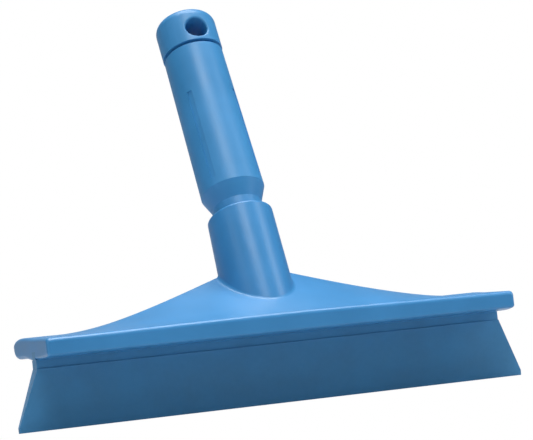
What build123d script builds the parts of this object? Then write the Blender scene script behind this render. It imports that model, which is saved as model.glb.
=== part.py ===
from build123d import *
from math import cos, radians, sin, sqrt, tan
import os

# One-blade hygiene squeegee with a short screw-in handle, in millimetres.
# X runs along the blade, +Y points to the back and +Z up. The origin is the
# middle of the blade's working edge, which lies on Z = 0.
os.makedirs("parts", exist_ok=True)

# ---- driving dimensions ----------------------------------------------------
# rubber blade
blade_length = 245.0            # along the working edge
blade_height = 27.0             # working edge to the crease under the neck
blade_flare = 9.9               # how far each end stands out past the neck
blade_tip_height = 2.4          # upright end of each corner at the edge
blade_edge_thickness = 2.0
blade_crease_thickness = 7.6
neck_height = 4.0               # band between the crease and the head
neck_thickness = 6.6
root_height = 3.6               # part of the rubber that fills the head's groove
root_mouth = 4.4                # width of the groove's mouth
root_width = 6.0                # width of the groove's bottom
root_clearance = 0.03           # rubber to plastic, all round the root

# head: the long beam
beam_front = 22.8               # blade centre to the beam's front face
beam_back = 32.5                # blade centre to the back lip
beam_front_low = 0.8            # front lower corner above the underside
beam_front_high = 8.4           # front upper corner above the underside
beam_back_rise = 7.1            # back lip above the underside at the ends
beam_crest_rise = 9.7          # top of the beam above the underside
beam_crest_back = 4.0           # crest behind the blade centre at the ends
beam_top_rounding = 2.2         # front upper corner, along the beam
beam_low_rounding = 1.0         # front lower corner
beam_end_rounding = 1.6

# head: the fan-shaped shoulder that rises from the beam to the socket
fan_start = 92.0                # distance from the middle where it starts
fan_rise = 26.0
fan_curve = 1.3                 # exponent of its concave rise
fan_crest_shift = 19.0          # crest moves back by this towards the middle
fan_peak_rounding = 8.0         # half-width over which the peak is rounded off
fan_back_lift = 5.0             # back lip rises by this towards the middle
crest_softness = 0.5            # pull of the top's slope on the curve behind the crest
back_softness = 0.6             # pull of the upright back lip on that curve
underside_back = 17.5           # point on the underside, behind the blade centre
underside_rise = 1.6            # and above the neck's top
underside_lift = 0.25           # slope at which the underside leaves the front corner
fan_stations = 8                # steps from the middle to its start

# head: the socket and the handle's lean
handle_lean = 25.0              # away from upright, towards the back
rim_back = 25.1                 # middle of the socket's rim, behind the blade
rim_height = 87.8               # and above the working edge
socket_radius = 15.5
socket_rim_rounding = 1.0
socket_length = 62.0            # rim to the foot section buried in the beam
socket_foot_half_width = 16.8
socket_foot_half_depth = 19.8
socket_foot_shift = 6.8         # the foot's middle lies this far behind the axis
socket_floor_slope = 40.0       # its underside behind the blade, from level
socket_fillet = 2.0

# screw joint
bore_radius = 10.8
bore_depth = 32.0
bore_floor_cone = 3.0           # depth of the bore's tapered floor
thread_pitch = 5.0
thread_turns = 4
thread_depth = 1.0              # of the groove and of the rib
thread_rib_width = 2.0
thread_bite = 0.3               # how far the rib's foot is sunk into its wall
thread_clearance = 0.3          # rib's crest to the bore
thread_start = 6.0              # end of the thread below the socket's rim
spigot_length = 29.0
spigot_wall = 3.2
spigot_chamfer = 1.0
seat_gap = 0.3                  # collar's shoulder above the socket's rim

# grip
collar_radius = 11.9
collar_height = 5.2
grip_foot_height = 13.0         # where the taper reaches the full grip
grip_radius_low = 15.2
grip_radius_top = 14.35
grip_length = 90.2              # socket's rim to the top of the grip
grip_wall = 3.4
grip_floor_height = 18.0        # inner floor above the socket's rim
grip_floor_thickness = 4.0
grip_top_rounding = 0.7
strip_bottom = 17.0             # four shallow sunk strips along the grip
strip_top = 65.0
strip_spread = 10.0             # width of each, in degrees round the grip
strip_angle = 50.0              # either side of the front and of the back
strip_depth = 0.4

# hanging cap
cap_gap = 1.3                   # shadow groove between the grip and the cap
cap_radius = 14.7
cap_side_height = 14.2
cap_top_rounding = 5.4
cap_hole_radius = 5.3
cap_hole_height = 6.9           # hole's middle above the cap's lower rim
cap_hole_rounding = 0.8
cap_spacer_radius = 12.6
cap_plug_length = 16.0
cap_plug_wall = 2.6
cap_plug_clearance = 0.05
cap_floor_thickness = 3.4       # plastic between the plug's hollow and the hole
snap_rib_height = 0.35
snap_rib_width = 1.6
snap_rib_from_end = 4.0

# ---- sizes that follow from the values above --------------------------------
blade_top = blade_height + neck_height
neck_half_length = blade_length / 2 - blade_flare
beam_half_length = neck_half_length
grip_bore_radius = grip_radius_top - grip_wall
cap_bottom = grip_length + cap_gap
cap_hole_centre = cap_bottom + cap_hole_height
spigot_core_radius = bore_radius - thread_clearance - thread_depth
handle_plane = Plane(
    origin=(0, rim_back, rim_height),
    x_dir=(1, 0, 0),
    z_dir=(0, sin(radians(handle_lean)), cos(radians(handle_lean))),
)
# plane through the handle's axis: its x is the radius and its y runs up the handle
turning_plane = Plane(
    origin=handle_plane.origin,
    x_dir=(1, 0, 0),
    z_dir=(0, -cos(radians(handle_lean)), sin(radians(handle_lean))),
)
handle_axis = Axis(handle_plane.origin, handle_plane.z_dir)


def on_handle(distance):
    """Plane across the handle's axis, at a distance above the socket's rim."""
    return handle_plane.offset(distance)


def across(distance):
    """Plane across the blade, with its own x to the back and y up."""
    return Plane(origin=(distance, 0, 0), x_dir=(0, 1, 0), z_dir=(1, 0, 0))


# ---- rubber blade -----------------------------------------------------------
# A wedge that thins towards the edge and flares out at both ends, with a short
# upright neck and a dovetail root that the head is moulded round.
edge_half = blade_edge_thickness / 2
crease_half = blade_crease_thickness / 2
root_top = blade_top + root_height - root_clearance
mouth_half = root_mouth / 2 - root_clearance
root_half = root_width / 2 - root_clearance

with BuildPart() as rubber_blade:
    with BuildSketch(across(-blade_length / 2)):
        with BuildLine():
            Polyline(
                (-edge_half, 0),
                (-crease_half, blade_height),
                (-neck_thickness / 2, blade_height),
                (-neck_thickness / 2, blade_top),
                (-mouth_half, blade_top),
                (-root_half, root_top),
                (root_half, root_top),
                (mouth_half, blade_top),
                (neck_thickness / 2, blade_top),
                (neck_thickness / 2, blade_height),
                (crease_half, blade_height),
                (edge_half, 0),
                close=True,
            )
        make_face()
    extrude(amount=blade_length)
    # the ends are cut to the flared outline seen from the front
    with BuildSketch(Plane.XZ):
        with BuildLine():
            Polyline(
                (-blade_length / 2, 0),
                (-blade_length / 2, blade_tip_height),
                (-neck_half_length, blade_height),
                (-neck_half_length, root_top),
                (neck_half_length, root_top),
                (neck_half_length, blade_height),
                (blade_length / 2, blade_tip_height),
                (blade_length / 2, 0),
                close=True,
            )
        make_face()
    extrude(amount=blade_crease_thickness, both=True, mode=Mode.INTERSECT)
rubber_blade.part.label = "rubber_blade"
export_step(rubber_blade.part, "parts/rubber_blade.step")


# ---- squeegee head ----------------------------------------------------------
def fan_share(distance):
    """How far the shoulder has risen: 0 where it starts, nearly 1 in the middle."""
    reach = sqrt(fan_start**2 + fan_peak_rounding**2)
    return (reach - sqrt(distance**2 + fan_peak_rounding**2)) / reach


def head_section(distance):
    """Boat-shaped section of the beam and shoulder at a distance from the middle."""
    share = fan_share(distance)
    low_front = (-beam_front, blade_top + beam_front_low)
    high_front = (-beam_front, blade_top + beam_front_high)
    crest = (
        beam_crest_back + share * fan_crest_shift,
        blade_top + beam_crest_rise + fan_rise * share**fan_curve,
    )
    back = (
        beam_back,
        blade_top + beam_back_rise + fan_back_lift * share**fan_curve,
    )
    slope = (crest[0] - high_front[0], crest[1] - high_front[1])
    with BuildSketch(across(distance)) as section:
        with BuildLine():
            Line(low_front, high_front)
            Line(high_front, crest)
            Spline(crest, back, tangents=[slope, (0, -1)], tangent_scalars=[crest_softness, back_softness])
            Spline(
                back,
                (underside_back, blade_top + underside_rise),
                (crease_half, blade_top),
                tangents=[(0, -1), (-1, 0)],
            )
            Line((crease_half, blade_top), (-crease_half, blade_top))
            Spline((-crease_half, blade_top), low_front, tangents=[(-1, 0), (-1, underside_lift)])
        make_face()
        fillet(section.vertices().group_by(Axis.X)[0].sort_by(Axis.Y)[-1], beam_top_rounding)
        fillet(section.vertices().group_by(Axis.X)[0].sort_by(Axis.Y)[0], beam_low_rounding)
    return section.sketch


def groove_blank():
    """The dovetail groove that the blade's root fills."""
    with BuildPart() as groove:
        with BuildSketch(across(-beam_half_length)):
            with BuildLine():
                Polyline(
                    (-root_mouth / 2, blade_top - root_height),
                    (-root_mouth / 2, blade_top),
                    (-root_width / 2, blade_top + root_height),
                    (root_width / 2, blade_top + root_height),
                    (root_mouth / 2, blade_top),
                    (root_mouth / 2, blade_top - root_height),
                    close=True,
                )
            make_face()
        extrude(amount=2 * beam_half_length)
    return groove.part


def socket_blank():
    """Tapered tube body, cut off under the slope that ends it behind the blade."""
    reach = 2 * socket_length
    with BuildPart() as socket:
        with BuildSketch(on_handle(0)):
            Ellipse(socket_radius, socket_radius)
        with BuildSketch(on_handle(-socket_length)):
            with Locations((0, socket_foot_shift)):
                Ellipse(socket_foot_half_width, socket_foot_half_depth)
        loft()
        with BuildSketch(Plane.YZ):
            with BuildLine():
                Polyline(
                    (-reach, blade_top + beam_front_low),
                    (crease_half, blade_top + beam_front_low),
                    (
                        crease_half + reach,
                        blade_top + beam_front_low + reach * tan(radians(socket_floor_slope)),
                    ),
                    (crease_half + reach, rim_height + reach),
                    (-reach, rim_height + reach),
                    close=True,
                )
            make_face()
        extrude(amount=reach, both=True, mode=Mode.INTERSECT)
    return socket.part


def thread(foot_radius, width):
    """Helical rib that stands out from a wall round the handle's axis."""
    with BuildPart() as helical:
        with BuildLine() as path:
            turns = Helix(
                pitch=thread_pitch,
                height=thread_pitch * thread_turns,
                radius=foot_radius,
                center=on_handle(-thread_start - thread_pitch * thread_turns).origin,
                direction=handle_plane.z_dir,
            )
        with BuildSketch(Plane(origin=turns @ 0, x_dir=(1, 0, 0), z_dir=turns % 0)):
            with BuildLine():
                Polyline(
                    (-thread_bite, -width / 2),
                    (-thread_bite, width / 2),
                    (thread_depth, width / 4),
                    (thread_depth, -width / 4),
                    close=True,
                )
            make_face()
        sweep(path=path.line, is_frenet=True)
    return helical.part


stations = [fan_start * n / fan_stations for n in range(-fan_stations, fan_stations + 1)]

with BuildPart() as squeegee_head:
    loft([head_section(x) for x in stations])
    extrude(head_section(fan_start), amount=beam_half_length - fan_start)
    extrude(head_section(-fan_start), amount=fan_start - beam_half_length)
    fillet(squeegee_head.faces().sort_by(Axis.X)[-1].edges(), beam_end_rounding)
    fillet(squeegee_head.faces().sort_by(Axis.X)[0].edges(), beam_end_rounding)
    add(socket_blank())
    joint_edges = squeegee_head.edges(Select.LAST).filter_by(GeomType.BSPLINE)
    fillet(joint_edges.sort_by(lambda e: e.center().Y)[0], socket_fillet)
    rim = squeegee_head.edges().filter_by(GeomType.ELLIPSE).sort_by(Axis.Z)[-1]
    fillet(rim, socket_rim_rounding)
    # the bore, with a tapered floor, and its thread
    with BuildSketch(turning_plane):
        with BuildLine():
            Polyline(
                (0, seat_gap),
                (bore_radius, seat_gap),
                (bore_radius, -bore_depth),
                (0, -bore_depth - bore_floor_cone),
                close=True,
            )
        make_face()
    revolve(axis=handle_axis, mode=Mode.SUBTRACT)
    add(thread(bore_radius, thread_rib_width + 2 * thread_clearance), mode=Mode.SUBTRACT)
    add(groove_blank(), mode=Mode.SUBTRACT)
squeegee_head.part.label = "squeegee_head"
export_step(squeegee_head.part, "parts/squeegee_head.step")


# ---- grip handle ------------------------------------------------------------
def grip_radius(height):
    """Outer radius of the full grip at a height above the socket's rim."""
    share = (height - grip_foot_height) / (grip_length - grip_foot_height)
    return grip_radius_low + share * (grip_radius_top - grip_radius_low)


def strip_blank(middle_angle):
    """Narrow pad that is cut from the grip, at an angle from the handle's front."""
    outside = grip_radius_low + strip_depth
    with BuildPart() as strip:
        with BuildSketch(turning_plane):
            with BuildLine():
                Polyline(
                    (grip_radius(strip_bottom) - strip_depth, strip_bottom),
                    (outside, strip_bottom),
                    (outside, strip_top),
                    (grip_radius(strip_top) - strip_depth, strip_top),
                    close=True,
                )
            make_face()
        revolve(axis=handle_axis, revolution_arc=strip_spread)
    return strip.part.rotate(handle_axis, middle_angle - 90 - strip_spread / 2)


with BuildPart() as grip_handle:
    with BuildSketch(turning_plane):
        with BuildLine():
            Polyline(
                (spigot_core_radius - spigot_wall, -spigot_length),
                (spigot_core_radius - spigot_chamfer, -spigot_length),
                (spigot_core_radius, -spigot_length + spigot_chamfer),
                (spigot_core_radius, seat_gap),
                (collar_radius, seat_gap),
                (collar_radius, collar_height),
                (grip_radius_low, grip_foot_height),
                (grip_radius_top, grip_length),
                (grip_bore_radius, grip_length),
                (grip_bore_radius, grip_floor_height),
                (0, grip_floor_height),
                (0, grip_floor_height - grip_floor_thickness),
                (spigot_core_radius - spigot_wall, grip_floor_height - grip_floor_thickness),
                close=True,
            )
        make_face()
    revolve(axis=handle_axis)
    top_edges = grip_handle.edges().filter_by(GeomType.CIRCLE).group_by(Axis.Z)[-1]
    fillet(top_edges.sort_by(SortBy.RADIUS)[-1], grip_top_rounding)
    add(thread(spigot_core_radius, thread_rib_width))
    # groove that the cap's snap rib springs into
    with BuildSketch(turning_plane):
        with Locations((grip_bore_radius, grip_length - cap_plug_length + snap_rib_from_end)):
            Rectangle(2 * snap_rib_height, snap_rib_width + 2 * cap_plug_clearance)
    revolve(axis=handle_axis, mode=Mode.SUBTRACT)
    for middle_angle in (strip_angle, 180 - strip_angle, 180 + strip_angle, -strip_angle):
        add(strip_blank(middle_angle), mode=Mode.SUBTRACT)
grip_handle.part.label = "grip_handle"
export_step(grip_handle.part, "parts/grip_handle.step")

# ---- hanging cap ------------------------------------------------------------
plug_radius = grip_bore_radius - cap_plug_clearance
plug_end = grip_length - cap_plug_length
snap_rib_middle = plug_end + snap_rib_from_end
cap_straight_top = cap_bottom + cap_side_height
cap_top = cap_straight_top + cap_top_rounding
plug_hollow_top = cap_hole_centre - cap_hole_radius - cap_floor_thickness

with BuildPart() as hanging_cap:
    with BuildSketch(turning_plane):
        with BuildLine():
            Polyline(
                (0, cap_top),
                (0, plug_hollow_top),
                (plug_radius - cap_plug_wall, plug_hollow_top),
                (plug_radius - cap_plug_wall, plug_end),
                (plug_radius, plug_end),
                (plug_radius, snap_rib_middle - snap_rib_width / 2),
                (plug_radius + snap_rib_height, snap_rib_middle),
                (plug_radius, snap_rib_middle + snap_rib_width / 2),
                (plug_radius, grip_length),
                (cap_spacer_radius, grip_length),
                (cap_spacer_radius, cap_bottom),
                (cap_radius, cap_bottom),
                (cap_radius, cap_straight_top),
            )
            RadiusArc(
                (cap_radius, cap_straight_top),
                (cap_radius - cap_top_rounding, cap_top),
                -cap_top_rounding,
            )
            Line((cap_radius - cap_top_rounding, cap_top), (0, cap_top))
        make_face()
    revolve(axis=handle_axis)
    with BuildSketch(turning_plane):
        with Locations((0, cap_hole_centre)):
            Circle(cap_hole_radius)
    extrude(amount=2 * cap_radius, both=True, mode=Mode.SUBTRACT)
    fillet(hanging_cap.edges(Select.LAST).filter_by(GeomType.BSPLINE), cap_hole_rounding)
hanging_cap.part.label = "hanging_cap"
export_step(hanging_cap.part, "parts/hanging_cap.step")
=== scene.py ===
import math

import bmesh
import bpy
from mathutils import Matrix, Vector

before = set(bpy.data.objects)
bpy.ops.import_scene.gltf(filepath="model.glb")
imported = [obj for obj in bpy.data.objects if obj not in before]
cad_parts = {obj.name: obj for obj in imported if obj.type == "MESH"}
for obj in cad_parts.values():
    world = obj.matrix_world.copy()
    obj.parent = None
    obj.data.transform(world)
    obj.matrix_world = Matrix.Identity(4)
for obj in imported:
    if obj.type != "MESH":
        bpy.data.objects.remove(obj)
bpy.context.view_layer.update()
scene = bpy.context.scene
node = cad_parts

# ---- camera -----------------------------------------------------------------
# A long lens a metre away, low in front of the blade and to its left, held
# with a small tilt. It looks slightly up at a point between head and grip.
view_azimuth = math.radians(21.64)
view_elevation = math.radians(-3.9)
view_roll = math.radians(-6.46)
view_distance = 1.0459
view_middle = Vector((0.0, 0.0, 0.060))
view_right_of_middle = 0.0003
view_above_middle = 0.0235
lens_length = 155.3
film_width = 36.0
nearest_seen = 0.01

back = Vector(
    (
        -math.sin(view_azimuth) * math.cos(view_elevation),
        -math.cos(view_azimuth) * math.cos(view_elevation),
        math.sin(view_elevation),
    )
)
level = Vector((math.cos(view_azimuth), -math.sin(view_azimuth), 0.0))
upright = back.cross(level)
right = math.cos(view_roll) * level + math.sin(view_roll) * upright
up = -math.sin(view_roll) * level + math.cos(view_roll) * upright
eye = view_middle + view_right_of_middle * right + view_above_middle * up + view_distance * back
camera = bpy.data.objects.new("camera", bpy.data.cameras.new("camera"))
camera.data.lens = lens_length
camera.data.sensor_width = film_width
camera.data.clip_start = nearest_seen
turn = Matrix((right, up, back)).transposed().to_4x4()
camera.matrix_world = Matrix.Translation(eye) @ turn
scene.collection.objects.link(camera)
scene.camera = camera


# ---- squeegee head ----------------------------------------------------------
# One injection moulding of blue polypropylene: the long beam, the shoulder
# that rises from it and the threaded socket. It is smooth and satin, faintly
# cloudy, with edges rubbed a little paler.
def shader_of(material):
    """The material's one shader."""
    return next(n for n in material.node_tree.nodes if n.type == "BSDF_PRINCIPLED")


def link(owner, source, target):
    owner.node_tree.links.new(source, target)


def add_node(owner, kind, **inputs):
    """New node, with an underscore in an input's name standing for a space."""
    made = owner.node_tree.nodes.new(kind)
    for name, value in inputs.items():
        made.inputs[name.replace("_", " ")].default_value = value
    return made


def ramp(material, factor, low, high, start=0.3, end=0.7):
    """Colour ramp from low to high over a part of the factor's range."""
    made = add_node(material, "ShaderNodeValToRGB")
    made.color_ramp.elements[0].position = start
    made.color_ramp.elements[0].color = low
    made.color_ramp.elements[1].position = end
    made.color_ramp.elements[1].color = high
    link(material, factor, made.inputs["Fac"])
    return made.outputs["Color"]


def grey(value):
    return (value, value, value, 1.0)


def shade(colour, factor, lift=0.0):
    """The colour made lighter or deeper, with no channel above full."""
    return tuple(min(1.0, c * factor + lift) for c in colour) + (1.0,)


def moulded_plastic(name, colour, roughness, grain_scale, grain_height, wear=0.35, cloud=0.06):
    """Moulded plastic: cloudy colour, edge wear, uneven gloss and a fine skin grain."""
    cloud_scale = 38.0
    scuff_scale = 420.0
    wear_begins = 0.515
    wear_is_full = 0.56
    gloss_swing = 0.05
    material = bpy.data.materials.new(name)
    material.use_nodes = True
    shader = shader_of(material)
    place = add_node(material, "ShaderNodeTexCoord")

    clouds = add_node(material, "ShaderNodeTexNoise", Scale=cloud_scale, Detail=3.0, Roughness=0.55)
    link(material, place.outputs["Object"], clouds.inputs["Vector"])
    body = ramp(material, clouds.outputs["Fac"], shade(colour, 1 - cloud), shade(colour, 1 + cloud))

    shape = add_node(material, "ShaderNodeNewGeometry")
    edge = ramp(material, shape.outputs["Pointiness"], grey(0.0), grey(1.0), wear_begins, wear_is_full)
    scuffs = add_node(material, "ShaderNodeTexNoise", Scale=scuff_scale, Detail=4.0, Roughness=0.7)
    link(material, place.outputs["Object"], scuffs.inputs["Vector"])
    patchy = add_node(material, "ShaderNodeMath")
    patchy.operation = "MULTIPLY"
    link(material, edge, patchy.inputs[0])
    link(material, scuffs.outputs["Fac"], patchy.inputs[1])
    amount = add_node(material, "ShaderNodeMath")
    amount.operation = "MULTIPLY"
    link(material, patchy.outputs[0], amount.inputs[0])
    amount.inputs[1].default_value = wear
    worn = add_node(material, "ShaderNodeMix")
    worn.data_type = "RGBA"
    link(material, amount.outputs[0], worn.inputs["Factor"])
    link(material, body, worn.inputs["A"])
    worn.inputs["B"].default_value = shade(colour, 1.5, lift=0.05)
    link(material, worn.outputs["Result"], shader.inputs["Base Color"])

    dull = grey(roughness + gloss_swing)
    gloss = ramp(material, clouds.outputs["Fac"], grey(roughness - gloss_swing), dull)
    link(material, gloss, shader.inputs["Roughness"])

    grain = add_node(material, "ShaderNodeTexNoise", Scale=grain_scale, Detail=2.0, Roughness=0.5)
    link(material, place.outputs["Object"], grain.inputs["Vector"])
    skin = add_node(material, "ShaderNodeBump", Strength=0.35, Distance=grain_height)
    link(material, grain.outputs["Fac"], skin.inputs["Height"])
    link(material, skin.outputs["Normal"], shader.inputs["Normal"])
    return material


def finish_with(piece, material):
    """Puts one finish on every slot of a carried-over piece."""
    for slot in piece.material_slots:
        slot.material = material


head_blue = moulded_plastic(
    "head_polypropylene", (0.040, 0.255, 0.565), roughness=0.38, grain_scale=900.0, grain_height=0.00004
)
head_shader = shader_of(head_blue)
head_shader.inputs["Coat Weight"].default_value = 0.12
head_shader.inputs["Coat Roughness"].default_value = 0.22
finish_with(node["squeegee_head"], head_blue)

# ---- rubber blade -----------------------------------------------------------
# Soft blue thermoplastic rubber, moulded on to the beam. It is duller and a
# little greyer than the plastic.
blade_blue = moulded_plastic(
    "blade_rubber",
    (0.037, 0.225, 0.460),
    roughness=0.62,
    grain_scale=1400.0,
    grain_height=0.00006,
    wear=0.2,
    cloud=0.09,
)
blade_shader = shader_of(blade_blue)
blade_shader.inputs["Sheen Weight"].default_value = 0.15
blade_shader.inputs["Sheen Roughness"].default_value = 0.5
finish_with(node["rubber_blade"], blade_blue)

# ---- grip -------------------------------------------------------------------
# Hollow moulding of blue polypropylene, with four narrow sunk strips up its
# length and a threaded spigot below. Its skin is fine, even and satin.
grip_blue = moulded_plastic(
    "grip_polypropylene", (0.042, 0.260, 0.560), roughness=0.42, grain_scale=2600.0, grain_height=0.00008
)
finish_with(node["grip_handle"], grip_blue)

# ---- hanging cap ------------------------------------------------------------
# A plugged-in moulding of the same plastic, a shade deeper, with a cross hole
# for a wall hook. Its outside is a little smoother than the grip.
cap_blue = moulded_plastic(
    "cap_polypropylene", (0.040, 0.245, 0.530), roughness=0.40, grain_scale=1800.0, grain_height=0.00006
)
finish_with(node["hanging_cap"], cap_blue)

# ---- studio -----------------------------------------------------------------
# A paper sweep: a floor that curves up behind the object. The camera sees the
# paper and the air as plain white, and every other ray meets mid grey paper
# and dim air. Large soft panels stand above, in front and on both sides.
floor_half_width = 3.0
floor_front = -3.0
floor_back = 1.2
sweep_radius = 1.0
sweep_top = 3.0
sweep_steps = 24
white = (1.0, 1.0, 1.0, 1.0)
dim_air_strength = 0.11


def white_to_camera(owner, lit, glowing):
    """Shows the glowing shader to the camera and the lit one to every other ray."""
    ray = add_node(owner, "ShaderNodeLightPath")
    seen = add_node(owner, "ShaderNodeMixShader")
    link(owner, ray.outputs["Is Camera Ray"], seen.inputs[0])
    link(owner, lit.outputs[0], seen.inputs[1])
    link(owner, glowing.outputs[0], seen.inputs[2])
    output = next(n for n in owner.node_tree.nodes if n.type in ("OUTPUT_MATERIAL", "OUTPUT_WORLD"))
    link(owner, seen.outputs[0], output.inputs["Surface"])


sweep_mesh = bmesh.new()
profile = [(floor_front, 0.0), (floor_back, 0.0)]
for step in range(1, sweep_steps + 1):
    angle = step / sweep_steps * math.pi / 2
    profile.append((floor_back + sweep_radius * math.sin(angle), sweep_radius * (1 - math.cos(angle))))
profile.append((floor_back + sweep_radius, sweep_top))
rows = []
for y, z in profile:
    rows.append([sweep_mesh.verts.new((x, y, z)) for x in (-floor_half_width, floor_half_width)])
for lower, upper in zip(rows, rows[1:]):
    sweep_mesh.faces.new((lower[0], lower[1], upper[1], upper[0])).smooth = True
sweep_data = bpy.data.meshes.new("paper_sweep")
sweep_mesh.to_mesh(sweep_data)
sweep_mesh.free()
sweep = bpy.data.objects.new("paper_sweep", sweep_data)
scene.collection.objects.link(sweep)

paper = bpy.data.materials.new("white_paper")
paper.use_nodes = True
paper_shader = shader_of(paper)
paper_shader.inputs["Base Color"].default_value = (0.55, 0.55, 0.56, 1.0)
paper_shader.inputs["Roughness"].default_value = 0.9
paper_shader.inputs["Specular IOR Level"].default_value = 0.1
white_to_camera(paper, paper_shader, add_node(paper, "ShaderNodeEmission", Color=white, Strength=1.0))
sweep_data.materials.append(paper)

world = bpy.data.worlds.new("studio_air")
world.use_nodes = True
scene.world = world
dim_air = world.node_tree.nodes["Background"]
dim_air.inputs["Color"].default_value = white
dim_air.inputs["Strength"].default_value = dim_air_strength
white_to_camera(world, dim_air, add_node(world, "ShaderNodeBackground", Color=white))

object_middle = Vector((0.0, 0.02, 0.09))


def panel(name, place, width, height, watts):
    """Large soft light panel that faces the middle of the object."""
    lamp = bpy.data.lights.new(name, "AREA")
    lamp.shape = "RECTANGLE"
    lamp.size = width
    lamp.size_y = height
    lamp.energy = watts
    made = bpy.data.objects.new(name, lamp)
    made.location = place
    made.rotation_euler = (object_middle - Vector(place)).to_track_quat("-Z", "Y").to_euler()
    scene.collection.objects.link(made)


panel("top_panel", (0.2, 0.2, 1.7), width=1.4, height=1.0, watts=32.0)
panel("front_high_panel", (-0.3, -1.2, 1.9), width=0.8, height=0.6, watts=17.0)
panel("left_panel", (-1.6, -0.6, 0.9), width=0.8, height=1.0, watts=3.0)
panel("right_panel", (1.5, -0.8, 1.0), width=0.6, height=1.2, watts=10.0)
scene.view_settings.view_transform = "Standard"
